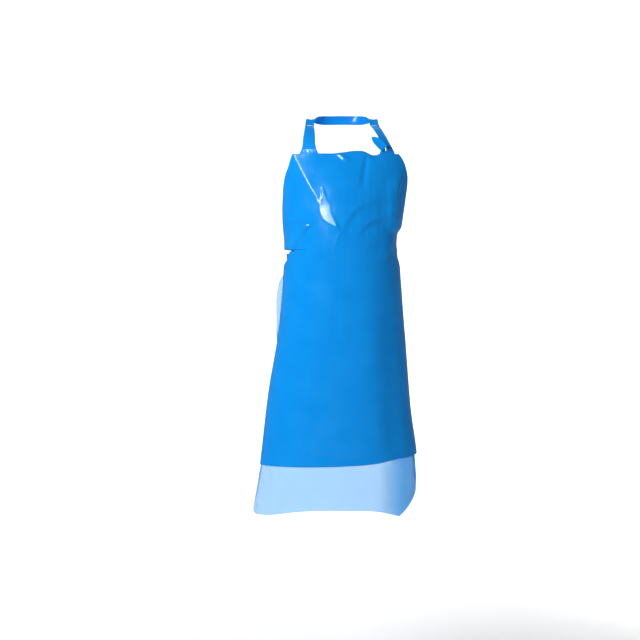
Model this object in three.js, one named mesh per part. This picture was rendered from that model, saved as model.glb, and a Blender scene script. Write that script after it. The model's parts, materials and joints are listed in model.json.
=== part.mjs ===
import * as THREE from 'three';

// A butcher's film apron in its worn shape, in millimetres. +Z is up, the front faces -Y, and the
// origin is on the inner face of the neck strap, at the middle of the nape.
// Two plies of film hang from the neck strap: an opaque outer panel, and behind it a longer and
// wider liner of clear film. Each ply is cut at the hips, where the skirt swings, and the liner is
// cut again at the opaque hem, where its loose lower band swings.

// Film
const FILM = 0.5; // thickness of the opaque outer ply
const LINER = 0.3; // thickness of the clear liner
const PLY_GAP = 3.5; // from the middle of one ply to the middle of the other
const CLEARANCE = 0.5; // gap between separate pieces that meet

// Flat widths at the hem
const PANEL_WIDTH = 666;
const LINER_WIDTH = 711;

// Lengths down the front, each measured from the top edge of the bib
const WAIST_DROP = 322; // middle of the waist tie
const HIP_DROP = WAIST_DROP + 74; // line about which the skirt swings
const PANEL_LENGTH = 981; // hem of the opaque panel
const APRON_LENGTH = 1143; // hem of the liner
const LINER_LOW = 4; // top edge of the liner, below the bib's
const BIB_TOP_DROP = 118; // the bib's top edge, below the nape

// Angles through which the skirt and the lower band may swing, in degrees
const SKIRT_FORWARD = 25;
const SKIRT_BACK = 8;
const BAND_SWING = 20;

// Distance of each swing axis behind the foremost film, which puts it over the centre of mass
const SKIRT_AXIS_DEPTH = 66;
const BAND_AXIS_DEPTH = 52;

// Shoulder tabs, cut in one with the bib, and the neck strap that joins them
const TAB_RISE = 96; // from the bib's top edge to the top of a tab
const TAB_TOP_Y = -68;
const TAB_LEAN = 12; // how far a tab leans back over its lower half
const LEFT_TAB_X = -106;
const RIGHT_TAB_X = 100;
const TAB_WIDTH = 29;
const LEFT_TAB_ROOT = { outer: -139, inner: -77 };
const RIGHT_TAB_ROOT = { outer: 163, inner: 113 };
const STRAP_WIDTH = 29;
const STRAP_REACH = 12; // height of the strap's arch over each shoulder
const LEFT_SWELL = 0.28; // how much wider than the strap the left tab is half way up
const RIGHT_SWELL = -0.1;
const SLIT = 2.4; // width of the slit that the strap's free end comes out of
const TAIL_LENGTH = 58;
const TAIL_WIDTH = 26;
const TAIL_AHEAD = 7; // from the tab's film to the start of the strap's free end

// Waist ties, and the bow at the back
const TIE_WIDTH = 20;
const TIE = 0.8; // thickness of a tie, which is the film gathered
const NOTCH_DEPTH = 42; // how far the tie pulls the side edge in at the waist
const NOTCH_HALF = 22;
const NOTCH_STEP = 0.6; // row of facets between the notch's middle and its end
const TIE_START = 3; // from the cut edge to where the gathered tie is clear of it
const BACK_Y = 22; // where the ties meet behind the wearer
const KNOT = { x: 14, y: 10, z: 12 }; // half sizes of the knot
const LOOP_REACH = 92; // from the knot to the end of a bow loop
const LOOP_DROOP = 38;
const GATHERED = 0.6; // share of a tie's width that is left where it enters the knot
const BOW_BACK = 8; // how far behind the knot's middle the loops lie
const LOOP_OPENING = 9; // half of the loop's width across its hollow
const TIE_TAIL_LENGTH = 285;
const TIE_TAIL_SPREAD = 26; // how far each tail leans out

// Number of facets
const PANEL_COLUMNS = 26;
const FLARE_COLUMNS = 2;
const EDGE_COLUMNS = 5; // between a side edge of the bib and a tab
const TAB_COLUMNS = 4;
const CHEST_COLUMNS = 11; // between the two tabs
const ARC_STEPS = 48;
const WRAP_TURN = THREE.MathUtils.degToRad(12); // inward turn of the film behind the wearer's sides

// The worn shape, level by level: how far the film reaches to the wearer's sides, how far forward
// its middle and its sides lie, and the flat width of each ply as a share of its width at the hem.
const bibPart = (share) => share * WAIST_DROP;
const skirtPart = (share) => HIP_DROP + share * (PANEL_LENGTH - HIP_DROP);
const LEVELS = [
  { drop: 0, left: -193, right: 207, front: -170, side: -95, panel: 0.517, liner: 0.473 },
  { drop: bibPart(0.043), left: -193, right: 211, front: -176, side: -95, panel: 0.549, liner: 0.498 },
  { drop: bibPart(0.12), left: -193, right: 216, front: -186, side: -95, panel: 0.589, liner: 0.537 },
  { drop: bibPart(0.325), left: -190, right: 202, front: -212, side: -95, panel: 0.703, liner: 0.653 },
  { drop: bibPart(0.65), left: -194, right: 189, front: -224, side: -88, panel: 0.787, liner: 0.748 },
  { drop: WAIST_DROP - 32, left: -184, right: 176, front: -223, side: -86, panel: 0.781, liner: 0.788 },
  { drop: WAIST_DROP + 28, left: -188, right: 181, front: -221, side: -82, panel: 0.787, liner: 0.844 },
  { drop: skirtPart(0.13), left: -196, right: 191, front: -218, side: -75, panel: 0.814, liner: 0.928 },
  { drop: skirtPart(0.34), left: -210, right: 202, front: -214, side: -70, panel: 0.853, liner: 0.971 },
  { drop: skirtPart(0.58), left: -236, right: 213, front: -210, side: -62, panel: 0.913, liner: 0.99 },
  { drop: skirtPart(0.79), left: -252, right: 224, front: -206, side: -58, panel: 0.952, liner: 1 },
  { drop: PANEL_LENGTH, left: -267, right: 240, front: -204, side: -55, panel: 1, liner: 1 },
  { drop: APRON_LENGTH, left: -289, right: 245, front: -200, side: -52, panel: 1.036, liner: 1 },
];

// The liner's free left edge springs out beyond the panel below the waist.
const FLARE = { top: WAIST_DROP + 20, bottom: skirtPart(0.44), out: 22, run: 50 };
// Its lower right corner is cut off at a slant, from this drop down to this share of the half width.
const CORNER = { above: 81, share: 0.62 };

const film = new THREE.MeshStandardMaterial({ color: 0x0593ee, roughness: 0.28, metalness: 0 });
const clearFilm = new THREE.MeshStandardMaterial({ color: 0xa8d8ff, roughness: 0.22, metalness: 0 });
const apron = new THREE.Group();

function addPiece(name, geometry, material) {
  const mesh = new THREE.Mesh(geometry, material.clone());
  mesh.name = name;
  apron.add(mesh);
}

// A sheet of film: patches of four-cornered facets that share their corners, and the closed solid
// that they make when thickened to both sides.
class Sheet {
  constructor() {
    this.points = [];
    this.facets = [];
    this.known = new Map();
  }

  corner(point) {
    const key = point.toArray().map((value) => Math.round(value * 1000)).join();
    if (!this.known.has(key)) {
      this.known.set(key, this.points.length);
      this.points.push(point.clone());
    }
    return this.known.get(key);
  }

  // Rows run from the top down, and each row from the viewer's left to right.
  addRows(rows, leftOut = () => false) {
    const index = rows.map((row) => row.map((point) => this.corner(point)));
    for (let r = 0; r + 1 < index.length; r += 1) {
      for (let c = 0; c + 1 < index[r].length; c += 1) {
        if (!leftOut(r, c)) {
          this.facets.push([index[r][c], index[r + 1][c], index[r + 1][c + 1], index[r][c + 1]]);
        }
      }
    }
    return this;
  }

  normals() {
    const sums = this.points.map(() => new THREE.Vector3());
    for (const [a, b, c, d] of this.facets) {
      const across = this.points[c].clone().sub(this.points[a]);
      const along = this.points[d].clone().sub(this.points[b]);
      const normal = across.cross(along);
      for (const corner of [a, b, c, d]) sums[corner].add(normal);
    }
    return sums.map((sum) => sum.normalize());
  }

  solid(thickness) {
    const normals = this.normals();
    const count = this.points.length;
    const positions = [];
    for (const side of [0.5, -0.5]) {
      this.points.forEach((point, i) => {
        positions.push(...point.clone().addScaledVector(normals[i], side * thickness).toArray());
      });
    }
    const triangles = [];
    const edges = new Set();
    for (const [a, b, c, d] of this.facets) {
      triangles.push(a, b, c, a, c, d);
      triangles.push(a + count, c + count, b + count, a + count, d + count, c + count);
      for (const [from, to] of [[a, b], [b, c], [c, d], [d, a]]) edges.add(`${from},${to}`);
    }
    for (const edge of edges) {
      const [from, to] = edge.split(',').map(Number);
      if (!edges.has(`${to},${from}`)) {
        triangles.push(to, from, from + count, to, from + count, to + count);
      }
    }
    const geometry = new THREE.BufferGeometry();
    geometry.setAttribute('position', new THREE.Float32BufferAttribute(positions, 3));
    geometry.setIndex(triangles);
    return geometry;
  }
}

// Smooth value of every column of the level table at one drop.
function levelAt(drop) {
  const last = LEVELS.length - 1;
  const found = LEVELS.findIndex((level) => level.drop >= drop);
  const high = Math.min(Math.max(found < 0 ? last : found, 1), last);
  const low = high - 1;
  const from = LEVELS[low];
  const to = LEVELS[high];
  const span = to.drop - from.drop;
  const t = THREE.MathUtils.clamp((drop - from.drop) / span, 0, 1);
  const slope = (i, key) => {
    const before = LEVELS[Math.max(i - 1, 0)];
    const after = LEVELS[Math.min(i + 1, last)];
    return (after[key] - before[key]) / (after.drop - before.drop);
  };
  const level = { drop };
  for (const key of ['left', 'right', 'front', 'side', 'panel', 'liner']) {
    const bend = (t - 1) * (slope(low, key) * (1 - t) - slope(high, key) * t) * -t * span;
    level[key] = from[key] + (to[key] - from[key]) * t * t * (3 - 2 * t) + bend;
  }
  level.panel *= PANEL_WIDTH / 2;
  level.liner *= LINER_WIDTH / 2;
  return level;
}

// Point of the worn shape at a distance along the film from its middle (negative to the viewer's
// left): a half ellipse round the front of the wearer, then nearly straight back.
function planPoint(level, distance, inset) {
  const centre = (level.left + level.right) / 2;
  const reach = (level.right - level.left) / 2;
  const depth = level.side - level.front;
  const hand = Math.sign(distance) || 1;
  let left = Math.abs(distance);
  let angle = 0;
  const step = Math.PI / 2 / ARC_STEPS;
  while (angle < Math.PI / 2 - step / 2) {
    const run = Math.hypot(reach * Math.cos(angle + step / 2), depth * Math.sin(angle + step / 2)) * step;
    if (run >= left) break;
    left -= run;
    angle += step;
  }
  if (angle < Math.PI / 2 - step / 2) {
    angle += left / Math.hypot(reach * Math.cos(angle), depth * Math.sin(angle));
    left = 0;
  }
  const tangent = new THREE.Vector2(reach * Math.cos(angle), depth * Math.sin(angle)).normalize();
  const spot = new THREE.Vector2(reach * Math.sin(angle), -depth * Math.cos(angle));
  if (left > 0) {
    tangent.set(-Math.sin(WRAP_TURN), Math.cos(WRAP_TURN));
    spot.addScaledVector(tangent, left);
  }
  const inward = new THREE.Vector2(-tangent.y, tangent.x);
  spot.addScaledVector(inward, inset);
  return new THREE.Vector3(centre + hand * spot.x, level.side + spot.y, -BIB_TOP_DROP - level.drop);
}

// How much of the side edge the tie pulls in at the waist.
function notchAt(drop) {
  const off = Math.abs(drop - WAIST_DROP) / NOTCH_HALF;
  return off < 1 ? NOTCH_DEPTH * (1 - off * off) : 0;
}

const range = (count) => [...Array(count + 1).keys()].map((i) => i / count);
const steps = (from, to, count) => range(count).map((share) => from + share * (to - from));
const joined = (...lists) => lists.flatMap((list, i) => (i ? list.slice(1) : list));
const even = steps(-1, 1, PANEL_COLUMNS);

function panelRow(drop, columns = even) {
  const level = levelAt(drop);
  const half = level.panel - notchAt(drop);
  return columns.map((share) => planPoint(level, share * half, 0));
}

function cornerShare(drop) {
  const down = (drop - (APRON_LENGTH - CORNER.above)) / CORNER.above;
  return 1 - (1 - CORNER.share) * THREE.MathUtils.clamp(down, 0, 1);
}

// The liner's row has a corner just past the panel's left edge, where its flare starts. A liner that
// stays inside the panel has no flare.
function linerRow(drop) {
  const level = levelAt(drop);
  const half = level.liner - notchAt(drop) - CLEARANCE;
  const panelEdge = level.panel - notchAt(drop) + PLY_GAP;
  const bend = Math.min(panelEdge, 0.9 * half);
  const down = THREE.MathUtils.clamp((drop - FLARE.top) / (FLARE.bottom - FLARE.top), 0, 1);
  const flare = FLARE.out * Math.sin(Math.PI * Math.sqrt(down));
  const distances = joined(
    steps(-half, -bend, FLARE_COLUMNS),
    steps(-bend, half * cornerShare(drop), PANEL_COLUMNS - FLARE_COLUMNS),
  );
  return distances.map((distance) => {
    const point = planPoint(level, distance, PLY_GAP);
    const past = THREE.MathUtils.clamp((-distance - panelEdge) / FLARE.run, 0, 1);
    point.x -= flare * past;
    return point;
  });
}

// The edge of a piece next to a swing axis is cut to a wedge, which stays clear of the swinging
// piece: ahead of the axis by one angle, and behind it by the other.
function wedge(row, axisY, ahead, behind, up) {
  return row.map((point) => {
    const off = point.y - axisY;
    const slope = Math.tan(THREE.MathUtils.degToRad(off < 0 ? ahead : behind));
    return point.clone().setZ(point.z + up * (2 * CLEARANCE + Math.abs(off) * slope));
  });
}

const hipAxisY = levelAt(HIP_DROP).front + SKIRT_AXIS_DEPTH;
const bandAxisY = levelAt(PANEL_LENGTH).front + BAND_AXIS_DEPTH;
const bibDrops = [
  ...[0, 0.043, 0.12, 0.22, 0.325, 0.49, 0.65, 0.8].map(bibPart),
  ...[-1, -NOTCH_STEP, 0, NOTCH_STEP, 1].map((share) => WAIST_DROP + share * NOTCH_HALF),
];
const skirtDrops = range(9).map(skirtPart);
const bandDrops = steps(PANEL_LENGTH, APRON_LENGTH, 4);
const wedgeBib = (row) => wedge(row, hipAxisY, SKIRT_FORWARD, SKIRT_BACK, 1);

// Distance along the bib's top edge of a place at this x.
function distanceAtX(level, x) {
  const centre = (level.left + level.right) / 2;
  let near = 0;
  let far = level.panel * Math.sign(x - centre);
  for (let i = 0; i < 40; i += 1) {
    const middle = (near + far) / 2;
    const reached = Math.abs(planPoint(level, middle, 0).x - centre);
    if (reached < Math.abs(x - centre)) near = middle;
    else far = middle;
  }
  return near;
}

// Columns of the bib: even steps between the corners of the two tabs.
const top = levelAt(0);
const shareAtX = (x) => distanceAtX(top, x) / top.panel;
const slitSide = (RIGHT_TAB_ROOT.inner * 2 + RIGHT_TAB_ROOT.outer) / 3;
const leftTab = [LEFT_TAB_ROOT.outer, LEFT_TAB_ROOT.inner].map(shareAtX);
const rightTab = [RIGHT_TAB_ROOT.inner, slitSide, slitSide + SLIT,
  (slitSide + RIGHT_TAB_ROOT.outer) / 2, RIGHT_TAB_ROOT.outer].map(shareAtX);
const bibColumns = joined(
  steps(-1, leftTab[0], EDGE_COLUMNS),
  steps(leftTab[0], leftTab[1], TAB_COLUMNS),
  steps(leftTab[1], rightTab[0], CHEST_COLUMNS),
  rightTab,
  steps(rightTab[TAB_COLUMNS], 1, EDGE_COLUMNS),
);

// A tab rises from its root on the bib's top edge and leans back to the shoulder. Its edges swing
// from the root's flare to the strap's width.
const TAB_RISES = [1, 0.8, 0.55, 0.3, 0.14, 0];
const SLIT_PLACE = { row: 3, column: 1 }; // the facet of the right tab that is left out

function tabRows(root, topX, swell) {
  const first = root[0].x;
  const width = root[root.length - 1].x - first;
  return TAB_RISES.map((rise) => {
    const flare = (1 - rise) ** 5;
    const across = TAB_WIDTH * (1 + swell * Math.sin(Math.PI * rise));
    const lean = THREE.MathUtils.lerp(first + width / 2, topX, rise ** 1.4);
    return root.map((foot) => {
      const place = (foot.x - first) / width - 0.5;
      const profile = new THREE.QuadraticBezierCurve(
        new THREE.Vector2(foot.y, -BIB_TOP_DROP),
        new THREE.Vector2(foot.y + TAB_LEAN, -BIB_TOP_DROP + 0.58 * TAB_RISE),
        new THREE.Vector2(TAB_TOP_Y, TAB_RISE - BIB_TOP_DROP),
      ).getPoint(rise);
      const x = THREE.MathUtils.lerp(lean + place * across, foot.x, flare);
      return new THREE.Vector3(x, profile.x, profile.y);
    });
  });
}

const bibRows = bibDrops.map((drop) => panelRow(drop, bibColumns));
bibRows.push(wedgeBib(panelRow(HIP_DROP, bibColumns)));
const leftRoot = bibRows[0].slice(EDGE_COLUMNS, EDGE_COLUMNS + TAB_COLUMNS + 1);
const rightRoot = bibRows[0].slice(-EDGE_COLUMNS - TAB_COLUMNS - 1, -EDGE_COLUMNS);
const leftTabRows = tabRows(leftRoot, LEFT_TAB_X, LEFT_SWELL);
const rightTabRows = tabRows(rightRoot, RIGHT_TAB_X, RIGHT_SWELL);
const bibSheet = new Sheet().addRows(bibRows).addRows(leftTabRows);
bibSheet.addRows(rightTabRows, (r, c) => r === SLIT_PLACE.row && c === SLIT_PLACE.column);

addPiece('bib_panel', bibSheet.solid(FILM), film);
addPiece('skirt_panel', new Sheet().addRows(skirtDrops.map((drop) => panelRow(drop))).solid(FILM), film);

const linerBib = bibDrops.map(linerRow);
linerBib[0] = linerRow(LINER_LOW);
linerBib.push(wedgeBib(linerRow(HIP_DROP)));
addPiece('bib_liner', new Sheet().addRows(linerBib).solid(LINER), clearFilm);
addPiece('skirt_liner', new Sheet().addRows(skirtDrops.map(linerRow)).solid(LINER), clearFilm);
const bandRows = bandDrops.map(linerRow);
bandRows[0] = wedge(bandRows[0], bandAxisY, BAND_SWING, BAND_SWING, -1);
addPiece('hem_band', new Sheet().addRows(bandRows).solid(LINER), clearFilm);

// A flat strap, from its middle line, the direction of its width at each point, and its width as a
// function of the share of the way along.
function strapSheet(middles, across, widthAt) {
  const last = middles.length - 1;
  const rows = middles.map((middle, i) => [-0.5, 0, 0.5].map(
    (share) => middle.clone().addScaledVector(across[i].clone().normalize(), share * widthAt(i / last)),
  ));
  return new Sheet().addRows(rows);
}

// The neck strap lies flat over each shoulder and stands on edge round the nape.
const tabTopZ = -(BIB_TOP_DROP - TAB_RISE);
const strapPath = new THREE.CatmullRomCurve3([
  new THREE.Vector3(LEFT_TAB_X, TAB_TOP_Y + 2 * CLEARANCE, tabTopZ + CLEARANCE),
  new THREE.Vector3(LEFT_TAB_X * 0.94, TAB_TOP_Y * 0.62, tabTopZ + STRAP_REACH),
  new THREE.Vector3(LEFT_TAB_X * 0.66, TAB_TOP_Y * 0.2, -3),
  new THREE.Vector3(0, FILM / 2, 0),
  new THREE.Vector3(RIGHT_TAB_X * 0.66, TAB_TOP_Y * 0.2, -3),
  new THREE.Vector3(RIGHT_TAB_X * 0.94, TAB_TOP_Y * 0.62, tabTopZ + STRAP_REACH),
  new THREE.Vector3(RIGHT_TAB_X, TAB_TOP_Y + 2 * CLEARANCE, tabTopZ + CLEARANCE),
]);
const strapShares = range(24);
const strapMiddles = strapShares.map((share) => strapPath.getPoint(share));
const strapWidths = strapShares.map((share) => {
  const stand = THREE.MathUtils.smoothstep(Math.sin(Math.PI * share), 0.05, 0.8) * Math.PI / 2;
  const hand = share < 0.5 ? -1 : 1;
  return new THREE.Vector3(hand * Math.cos(stand), 0, -Math.sin(stand));
});
addPiece('neck_strap', strapSheet(strapMiddles, strapWidths, () => STRAP_WIDTH).solid(FILM), film);

// The strap's free end comes forward out of the slit in the right tab and points to the throat.
const tailOut = new THREE.Vector3(-0.72, -0.12, 0.69).normalize();
const tailAcross = new THREE.Vector3(0.69, 0, 0.72).normalize();
const slitCorner = rightTabRows[SLIT_PLACE.row + 1][SLIT_PLACE.column];
const tailStart = slitCorner.clone().add(new THREE.Vector3(0, -TAIL_AHEAD, 0));
const tailRows = [[0, 0.5], [0.62, 0.5], [0.86, 0.3], [1, 0.06]].map(([along, half]) => {
  const middle = tailStart.clone().addScaledVector(tailOut, along * TAIL_LENGTH);
  return [-half, half].map((share) => middle.clone().addScaledVector(tailAcross, share * TAIL_WIDTH));
});
addPiece('strap_tail', new Sheet().addRows(tailRows).solid(FILM), film);

// Each waist tie runs back from the notch in the side edge and round to the knot.
const waist = levelAt(WAIST_DROP);
const waistZ = -BIB_TOP_DROP - WAIST_DROP;
const knotY = BACK_Y + KNOT.y + 2 * CLEARANCE;

function tieSheet(hand) {
  const notchThere = NOTCH_DEPTH * NOTCH_STEP * (TIE_WIDTH / 2 / NOTCH_HALF);
  const edge = waist.liner - NOTCH_DEPTH + notchThere + TIE_START;
  const start = planPoint(waist, hand * edge, PLY_GAP);
  const side = planPoint(waist, hand * (edge + 40), PLY_GAP);
  const path = new THREE.CatmullRomCurve3([
    start,
    side,
    new THREE.Vector3(start.x * 0.88, (side.y + BACK_Y) / 2, waistZ),
    new THREE.Vector3(start.x * 0.5, BACK_Y, waistZ),
    new THREE.Vector3(hand * (KNOT.x + 2 * CLEARANCE), BACK_Y + 1, waistZ),
  ], false, 'catmullrom', 0.5);
  const middles = range(14).map((share) => path.getPoint(share));
  const upright = middles.map(() => new THREE.Vector3(0, 0, hand));
  return strapSheet(middles, upright, (share) => TIE_WIDTH * Math.min(1, GATHERED + 4 * (1 - share)));
}

addPiece('waist_tie_left', tieSheet(-1).solid(TIE), film);
addPiece('waist_tie_right', tieSheet(1).solid(TIE), film);

const knot = new THREE.SphereGeometry(1, 16, 10);
knot.scale(KNOT.x, KNOT.y, KNOT.z);
knot.translate(0, knotY, waistZ);
addPiece('bow_knot', knot, film);

// A bow loop leaves the knot, droops to one side, and comes back to it a strap's thickness nearer.
function loopSheet(hand) {
  const middles = range(20).map((share) => {
    const turn = share * 2 * Math.PI;
    const out = (1 - Math.cos(turn)) / 2;
    const open = LOOP_OPENING * Math.sin(turn) * out ** 0.5;
    const near = (share < 0.5 ? 1 : -1) * 2 * TIE;
    const x = hand * (KNOT.x + 2 * CLEARANCE + out * LOOP_REACH);
    return new THREE.Vector3(x, knotY + BOW_BACK + open + near, waistZ - LOOP_DROOP * out * out);
  });
  const across = middles.map(() => new THREE.Vector3(hand * 0.35, 0, 1));
  return strapSheet(middles, across, (share) => TIE_WIDTH * (GATHERED + Math.sin(Math.PI * share) * 0.5));
}

// A tie's tail hangs from under the knot and leans out a little as it falls.
function tailSheet(hand) {
  const gathered = GATHERED * TIE_WIDTH;
  const widthAt = (share) => THREE.MathUtils.lerp(gathered, TIE_WIDTH, Math.min(1, 4 * share));
  const middles = range(12).map((share) => {
    const fall = KNOT.z + 2 * CLEARANCE + share * TIE_TAIL_LENGTH;
    const x = hand * (widthAt(share) / 2 + CLEARANCE + TIE_TAIL_SPREAD * share * share);
    const wave = 4 * Math.sin(3 * Math.PI * share) * share;
    return new THREE.Vector3(x, knotY + BOW_BACK - 3 + wave, waistZ - fall);
  });
  return strapSheet(middles, middles.map(() => new THREE.Vector3(1, 0, 0)), widthAt);
}

for (const [side, hand] of [['left', -1], ['right', 1]]) {
  addPiece(`bow_loop_${side}`, loopSheet(hand).solid(TIE), film);
  addPiece(`tie_tail_${side}`, tailSheet(hand).solid(TIE), film);
}

export default apron;
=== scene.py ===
"""Looks of the film butcher apron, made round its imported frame. Lengths are in metres."""

import json
import math

import bmesh
import bpy
import numpy as np
from mathutils import Matrix, Vector


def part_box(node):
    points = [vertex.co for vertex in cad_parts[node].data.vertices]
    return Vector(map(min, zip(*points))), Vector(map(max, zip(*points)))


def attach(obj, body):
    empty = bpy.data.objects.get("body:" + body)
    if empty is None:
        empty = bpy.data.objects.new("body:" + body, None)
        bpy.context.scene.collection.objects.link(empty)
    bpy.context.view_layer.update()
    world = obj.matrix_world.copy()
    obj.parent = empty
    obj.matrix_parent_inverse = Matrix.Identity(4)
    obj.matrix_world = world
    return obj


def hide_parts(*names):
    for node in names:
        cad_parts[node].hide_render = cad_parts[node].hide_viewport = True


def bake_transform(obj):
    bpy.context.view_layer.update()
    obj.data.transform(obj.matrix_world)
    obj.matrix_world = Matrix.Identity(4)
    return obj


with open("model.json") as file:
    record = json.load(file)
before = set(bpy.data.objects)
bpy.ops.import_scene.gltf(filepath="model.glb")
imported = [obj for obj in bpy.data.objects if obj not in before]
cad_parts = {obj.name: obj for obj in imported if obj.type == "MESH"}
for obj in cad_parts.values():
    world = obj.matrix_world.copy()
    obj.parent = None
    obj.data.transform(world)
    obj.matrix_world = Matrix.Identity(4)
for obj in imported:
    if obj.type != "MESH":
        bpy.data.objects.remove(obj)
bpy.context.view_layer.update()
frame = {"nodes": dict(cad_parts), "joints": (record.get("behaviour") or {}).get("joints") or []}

MM = 0.001
FILM = 0.5 * MM
CLEAR_FILM = 0.3 * MM
TIE_FILM = 0.4 * MM
LEVEL = 6 * MM  # spacing of the levels at which the frame is read
ROW = 3.4 * MM  # spacing of the panel's rows
COLUMN = 3.4 * MM  # and of its columns
JOIN = 0.02 * MM  # points nearer than this are made one
TINY = 1e-12  # keeps a division away from zero


# ---- The worn shape, read from the frame ----

WEARER = np.array([0.0, -0.06])  # a point inside the wearer, round which the film wraps
OUTWARD = 0.4  # a facet faces away from the wearer when its normal points outward by more than this
ANY_WAY = -2  # less than any facet has, so that all of them count
REACH = 0.42  # further along the film than any side edge
END_RUN = 12 * MM  # the film is carried on past its edges in the direction of this last run
SPREAD = np.arange(-REACH, REACH + MM, 4 * MM)
FRONT = np.linspace(-0.24, 0.24, 241)  # distances along the film's front
SURFACE_BLUR = 4  # levels over which the surface is blurred
EDGE_BLUR = 1  # and its side edges
TIE_REACH = 28 * MM  # the tie pulls the side edge in no further above and below the waist than this


def facets(names, facing=OUTWARD):
    """Corners of the frame's facets that face away from the wearer: facet, corner, x y z."""
    found = []
    for name in names:
        mesh = frame["nodes"][name].data
        mesh.calc_loop_triangles()
        points = np.array([v.co for v in mesh.vertices])
        corners = points[np.array([t.vertices[:] for t in mesh.loop_triangles])]
        normal = np.cross(corners[:, 1] - corners[:, 0], corners[:, 2] - corners[:, 0])
        normal /= np.maximum(np.linalg.norm(normal, axis=1, keepdims=True), TINY)
        away = corners.mean(axis=1)[:, :2] - WEARER
        away /= np.linalg.norm(away, axis=1, keepdims=True)
        found.append(corners[(normal[:, :2] * away).sum(axis=1) > facing])
    return np.concatenate(found)


def section(corners, z):
    """The points where facets cross a level, in order from the viewer's left to right."""
    above = corners[:, :, 2] > z
    points = []
    for facet, up in zip(corners, above):
        if up.all() or not up.any():
            continue
        for a, b in ((0, 1), (1, 2), (2, 0)):
            if up[a] != up[b]:
                share = (z - facet[a, 2]) / (facet[b, 2] - facet[a, 2])
                points.append(facet[a] + share * (facet[b] - facet[a]))
    points = np.array(points)
    around = np.arctan2(points[:, 0] - WEARER[0], WEARER[1] - points[:, 1])
    order = np.argsort(around)
    return points[order], around[order]


def smoothed(values, sigma):
    """Rows of values blurred down the film, by a Gaussian of sigma rows that keeps straight ends."""
    half = int(3 * sigma) + 1
    weights = np.exp(-0.5 * (np.arange(-half, half + 1) / sigma) ** 2)
    weights /= weights.sum()
    before = 2 * values[:1] - values[half:0:-1]
    after = 2 * values[-1:] - values[-2:-half - 2:-1]
    padded = np.concatenate([before, values, after])
    return sum(w * padded[i:i + len(values)] for i, w in enumerate(weights))


class Worn:
    """One ply's worn surface: its place at each distance along the film, level by level."""

    def __init__(self, names, low, high, gap=None):
        corners = facets(names)
        self.levels = np.linspace(high, low, int((high - low) / LEVEL) + 1)
        known, places, edges = [], [], []
        for i, z in enumerate(self.levels):
            if gap and gap[0] < z < gap[1]:
                continue
            points, around = section(corners, z)
            along = np.append(0, np.cumsum(np.linalg.norm(np.diff(points, axis=0), axis=1)))
            along -= np.interp(0, around, along)
            inner = np.array([[np.interp(along[end] + back, along, points[:, k]) for k in range(3)]
                              for end, back in ((0, END_RUN), (-1, -END_RUN))])
            ends = points[[0, -1]] + (points[[0, -1]] - inner) / END_RUN * REACH
            line = np.concatenate([ends[:1], points, ends[1:]])
            at = np.concatenate([[along[0] - REACH], along, [along[-1] + REACH]])
            known.append(i)
            places.append([np.interp(SPREAD, at, line[:, k]) for k in range(3)])
            edges.append((along[0], along[-1]))
        places, edges = np.array(places), np.array(edges)
        rows = np.arange(len(self.levels))
        flat = places.reshape(len(known), -1)
        filled = np.stack([np.interp(rows, known, flat[:, k]) for k in range(flat.shape[1])], axis=1)
        self.places = smoothed(filled, SURFACE_BLUR).reshape(len(rows), 3, -1)
        filled_edges = np.stack([np.interp(rows, known, edges[:, k]) for k in (0, 1)], axis=1)
        self.edges = smoothed(filled_edges, EDGE_BLUR)

    def at(self, z, distance):
        """The surface at arrays of levels and distances along the film."""
        z, distance = np.broadcast_arrays(z, distance)
        row = np.interp(-z, -self.levels, np.arange(len(self.levels)))
        column = np.clip((distance - SPREAD[0]) / (SPREAD[1] - SPREAD[0]), 0, len(SPREAD) - 1.001)
        r, c = np.minimum(row.astype(int), len(self.levels) - 2), column.astype(int)
        v, u = (row - r)[..., None], (column - c)[..., None]
        grid = self.places.transpose(0, 2, 1)
        top = grid[r, c] * (1 - u) + grid[r, c + 1] * u
        bottom = grid[r + 1, c] * (1 - u) + grid[r + 1, c + 1] * u
        found = top * (1 - v) + bottom * v
        found[..., 2] = z
        return found

    def edge(self, z, side):
        """Distance of a side edge from the film's middle: side 0 is the viewer's left."""
        return np.interp(-z, -self.levels, self.edges[:, side])

    def uncut_edge(self, z, side):
        """The same as if the waist tie didn't pull the edge in."""
        clear = (self.levels > waist_z + TIE_REACH) | (self.levels < waist_z - TIE_REACH)
        return np.interp(-z, -self.levels[clear], self.edges[clear, side])

    def distance_at(self, z, x):
        """Distance along the film, on its front, of a place at x."""
        return np.interp(x, self.at(z, FRONT)[:, 0], FRONT)


def step(low, high, value):
    """0 below low, 1 above high, and smooth between."""
    t = np.clip((value - low) / (high - low), 0, 1)
    return t * t * (3 - 2 * t)


def bell(value, width):
    """1 at zero, falling smoothly to nothing a few widths away."""
    return np.exp(-((value / width) ** 2))


# The notch at the viewer's left where the tie gathers the film: height above the tie, and x of the edge
NOTCH = [(0.026, None), (0.0215, None), (0.0205, -0.157), (0.0155, -0.165), (0.011, -0.17),
         (0.001, -0.171), (-0.013, -0.178), (-0.026, -0.186), (-0.032, None)]
NOTCH_INNER = 0.1  # the film nearer the middle than this isn't drawn together
NOTCH_ROOM = 0.4 * ROW  # a row nearer than this to a turn of the notch gives way to it


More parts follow.
